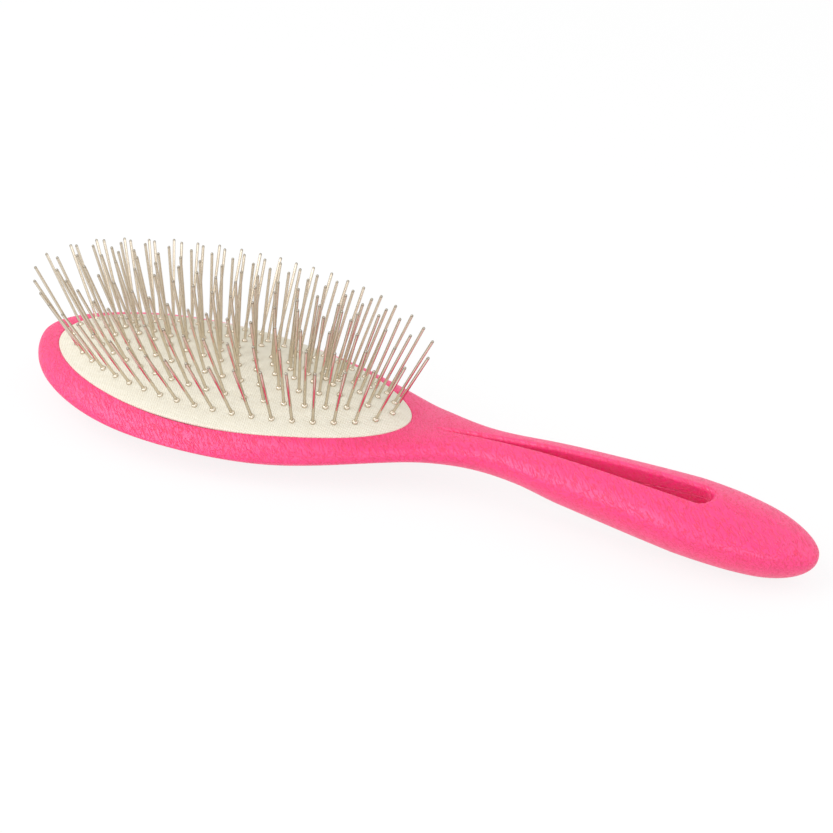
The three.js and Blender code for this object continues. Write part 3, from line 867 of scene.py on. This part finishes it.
def pink_plastic():
    """Satin plastic with long thin wavy creases that run slantwise, as on leather; the crease
    lines are also painted darker, as painted shade.
    """
    paint = Paint("pink_plastic")
    slant = (0.0, math.radians(-26.6), math.radians(35.6))
    creases = paint.noise(paint.mapped(slant, (260, 1650, 1650)), 1.0, 1.0, 0.45, 0.6)
    shallow = (0.0, 0.3, math.radians(12))
    crossing = paint.noise(paint.mapped(shallow, (600, 1500, 1500)), 1.0, 1.0, 0.5, 0.8)
    fine = paint.noise(paint.place(), 5200.0, 1.0)
    cloud = paint.noise(paint.place(), 60.0, 3.0)
    line = paint.crease(creases, 0.058)
    cross = paint.crease(crossing, 0.04)
    height = paint.math("ADD", paint.math("MULTIPLY", cross, 0.35), line)
    normal = paint.bump(height, 0.00009, 1.0)
    normal = paint.bump(fine, 0.000012, 0.6, normal)
    # Painted shade: the crease lines are painted darker than the plastic between them, standing in
    # for shade in the creases.
    colour = paint.mix(paint.ramp(line, 0.0, 1.0), srgb(241, 4, 80), srgb(255, 38, 124))
    colour = paint.mix(paint.ramp(cloud, 0.3, 0.7, 0.0, 0.3), colour, srgb(255, 44, 128))
    roughness = paint.ramp(line, 0.0, 1.0, 0.5, 0.36)
    return paint.set(color=colour, roughness=roughness, normal=normal, specular=0.95)


def pad_cloth():
    """Fine plain-woven cream cloth."""
    paint = Paint("pad_cloth")
    split = paint.node("ShaderNodeSeparateXYZ", {"Vector": paint.place()})
    wander = paint.math("MULTIPLY", paint.noise(paint.place(), 180.0, 2.0), 1.8)

    def threads(coordinate):
        turns = paint.math("MULTIPLY", coordinate, 2 * math.pi / (THREAD_PITCH * MM))
        return paint.math("SINE", paint.math("ADD", turns, wander))

    weave = paint.math("MULTIPLY", threads(split.outputs[0]), threads(split.outputs[1]))
    slub = paint.noise(paint.mapped((0, 0, 0), (300, 2400, 500)), 1.0, 2.0)
    cloud = paint.noise(paint.place(), 90.0, 3.0)
    normal = paint.bump(weave, 0.00006, 1.0)
    normal = paint.bump(slub, 0.00005, 0.8, normal)
    colour = paint.mix(paint.ramp(weave, -0.7, 0.7), srgb(219, 211, 189), srgb(250, 246, 232))
    colour = paint.mix(paint.ramp(slub, 0.35, 0.65, 0.0, 0.3), colour, srgb(252, 249, 239))
    colour = paint.mix(paint.ramp(cloud, 0.4, 0.7, 0.0, 0.2), colour, srgb(238, 231, 213))
    return paint.set(color=colour, roughness=0.92, normal=normal, specular=0.15)


def cushion_rubber():
    """Matt natural rubber, hidden under the cloth."""
    paint = Paint("cushion_rubber")
    cloud = paint.noise(paint.place(), 220.0, 3.0)
    colour = paint.mix(cloud, srgb(205, 190, 155), srgb(226, 214, 184))
    normal = paint.bump(paint.noise(paint.place(), 1500.0, 2.0), 0.00003, 0.5)
    return paint.set(color=colour, roughness=0.75, normal=normal)


def pin_alloy():
    """Drawn satin wire: faint drawing marks, an uneven sheen, an end painted darker as a painted
    dark reflection, and a dark edge tint as painted reflection.
    """
    paint = Paint("pin_alloy")
    drawn = paint.noise(paint.mapped((0, 0, 0), (9000, 9000, 260)), 1.0, 2.0)
    cloud = paint.noise(paint.place(), 300.0, 2.0)
    colour = paint.mix(cloud, srgb(212, 200, 182), srgb(230, 220, 204))
    tip = paint.node("ShaderNodeAttribute", attribute_name=PAINTED_TIP_MARK).outputs["Fac"]
    # Painted reflection: the wires' ends are painted darker, standing in for a dark reflection at
    # the tips.
    colour = paint.mix(paint.math("MULTIPLY", tip, 0.55), colour, srgb(112, 106, 96))
    roughness = paint.ramp(drawn, 0.3, 0.7, 0.05, 0.12)
    normal = paint.bump(drawn, 0.0000025, 0.5)
    # Painted reflection: a dark specular edge tint darkens the wires' grazing reflections,
    # standing in for reflections of the dark pins around them.
    edge = (0.2, 0.18, 0.16, 1.0)
    return paint.set(color=colour, metallic=1.0, roughness=roughness, normal=normal, tint=edge)


def dress(piece, material, slot, body, *nodes):
    """Gives a piece its material and its body, and hides the nodes it stands for; the slot is not
    used.
    """
    piece.data.materials.clear()
    piece.data.materials.append(material)
    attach(piece, body)
    if nodes:
        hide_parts(*nodes)
    return piece


# ---- Stage --------------------------------------------------------------------------------------

CAMERA_AZIMUTH = 28.757
CAMERA_ELEVATION = 31.003
CAMERA_DISTANCE = 0.5134
CAMERA_TARGET = Vector((0.00179, 0.00652, 0.0120))
CAMERA_LENS = 81.93
SENSOR_WIDTH = 36.0
FLOOR_HALF_SIZE = 3.0
FLOOR_GAP = 0.0001  # how far the floor lies below the brush's back
FLOOR_PALENESS = 0.94
FLOOR_WASH = 0.85  # how far the floor is washed out toward white where it is seen
PLAIN_LIGHT = 0.775  # the world's light on the brush; where the world is seen it is white
LAMPS = (  # azimuth, elevation, distance, width, height, power
    ("key", -55, 46, 0.9, 0.9, 0.9, 3.6),
    ("fill", 110, 35, 0.9, 0.9, 0.9, 1.2),
    ("front", 24, 26, 1.1, 0.8, 0.6, 1.8),
)


def from_angles(azimuth, elevation):
    """Unit vector toward a place at these angles: azimuth 0 is the -Y side, 90 the +X side."""
    a, e = math.radians(azimuth), math.radians(elevation)
    return Vector((math.sin(a) * math.cos(e), -math.cos(a) * math.cos(e), math.sin(e)))


def look(thing, target):
    thing.rotation_euler = (target - thing.location).to_track_quat("-Z", "Y").to_euler()


def camera():
    data = bpy.data.cameras.new("camera")
    data.lens = CAMERA_LENS
    data.sensor_width = SENSOR_WIDTH
    data.clip_start = 0.01
    thing = bpy.data.objects.new("camera", data)
    bpy.context.scene.collection.objects.link(thing)
    direction = from_angles(CAMERA_AZIMUTH, CAMERA_ELEVATION)
    thing.location = CAMERA_TARGET + CAMERA_DISTANCE * direction
    look(thing, CAMERA_TARGET)
    bpy.context.scene.camera = thing


def softbox(name, azimuth, elevation, distance, width, height, power):
    """A wide soft lamp that faces the brush."""
    data = bpy.data.lights.new(name, "AREA")
    data.shape = "ELLIPSE"
    data.size = width
    data.size_y = height
    data.energy = power
    thing = bpy.data.objects.new(name, data)
    bpy.context.scene.collection.objects.link(thing)
    thing.location = distance * from_angles(azimuth, elevation)
    look(thing, Vector((0, 0, 0)))


def by_ray(tree, plain, seen):
    """One value for diffuse rays, and one for those of the camera, mirrored or through glass."""
    path = tree.nodes.new("ShaderNodeLightPath")
    level = None
    for ray in ("Is Glossy Ray", "Is Transmission Ray", "Is Camera Ray"):
        pick = tree.nodes.new("ShaderNodeMix")
        tree.links.new(path.outputs[ray], pick.inputs["Factor"])
        if level is None:
            pick.inputs[2].default_value = plain
        else:
            tree.links.new(level, pick.inputs[2])
        pick.inputs[3].default_value = seen
        level = pick.outputs[0]
    return level


def floor():
    """Plain pale floor: where it is seen it is almost white, with a trace of the shadow."""
    size = FLOOR_HALF_SIZE
    mesh = bpy.data.meshes.new("floor")
    corners = [(-size, -size, 0), (size, -size, 0), (size, size, 0), (-size, size, 0)]
    mesh.from_pydata(corners, [], [(0, 1, 2, 3)])
    thing = bpy.data.objects.new("floor", mesh)
    bpy.context.scene.collection.objects.link(thing)
    thing.location.z = -FLOOR_GAP
    material = bpy.data.materials.new("floor")
    material.use_nodes = True
    tree = material.node_tree
    tree.nodes.clear()
    pale = tree.nodes.new("ShaderNodeBsdfDiffuse")
    pale.inputs["Color"].default_value = (FLOOR_PALENESS, FLOOR_PALENESS, FLOOR_PALENESS, 1)
    glow = tree.nodes.new("ShaderNodeEmission")
    both = tree.nodes.new("ShaderNodeMixShader")
    tree.links.new(by_ray(tree, 0.0, FLOOR_WASH), both.inputs[0])
    tree.links.new(pale.outputs[0], both.inputs[1])
    tree.links.new(glow.outputs[0], both.inputs[2])
    output = tree.nodes.new("ShaderNodeOutputMaterial")
    tree.links.new(both.outputs[0], output.inputs["Surface"])
    mesh.materials.append(material)


def world():
    """White where it is seen, and a plain even light elsewhere."""
    scene_world = bpy.data.worlds.new("world")
    scene_world.use_nodes = True
    bpy.context.scene.world = scene_world
    tree = scene_world.node_tree
    background = tree.nodes["Background"]
    background.inputs["Color"].default_value = (1, 1, 1, 1)
    tree.links.new(by_ray(tree, PLAIN_LIGHT, 1.0), background.inputs["Strength"])


# ---- The brush ----------------------------------------------------------------------------------

bpy.context.scene.view_settings.view_transform = "Standard"
camera()
for lamp in LAMPS:
    softbox(*lamp)
floor()
world()

BODY = "head_and_handle"
metal = pin_alloy()
cloth = pad_cloth()
rubber = cushion_rubber()

dress(handle_shell(), pink_plastic(), "pink_plastic", BODY, "handle_body")
pad = dress(cloth_pad(), cloth, "pad_cloth", BODY, "cloth_border")
dome = dress(rubber_dome(), rubber, "cushion_rubber", BODY, "rubber_cushion")
dress(rubber_bead(), rubber, "cushion_rubber", BODY)

for piece in (pad, dome):
    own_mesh(piece)

chance = np.random.default_rng(SEED)
ROW_BODIES = ["row_1", "row_2", "row_3", "crest"]
for number, (feet, body) in enumerate(zip(ROWS, ROW_BODIES), 1):
    dress(pins(f"pins_{number}", feet, chance), metal, "pin_alloy", body, f"pin_row_{number}")
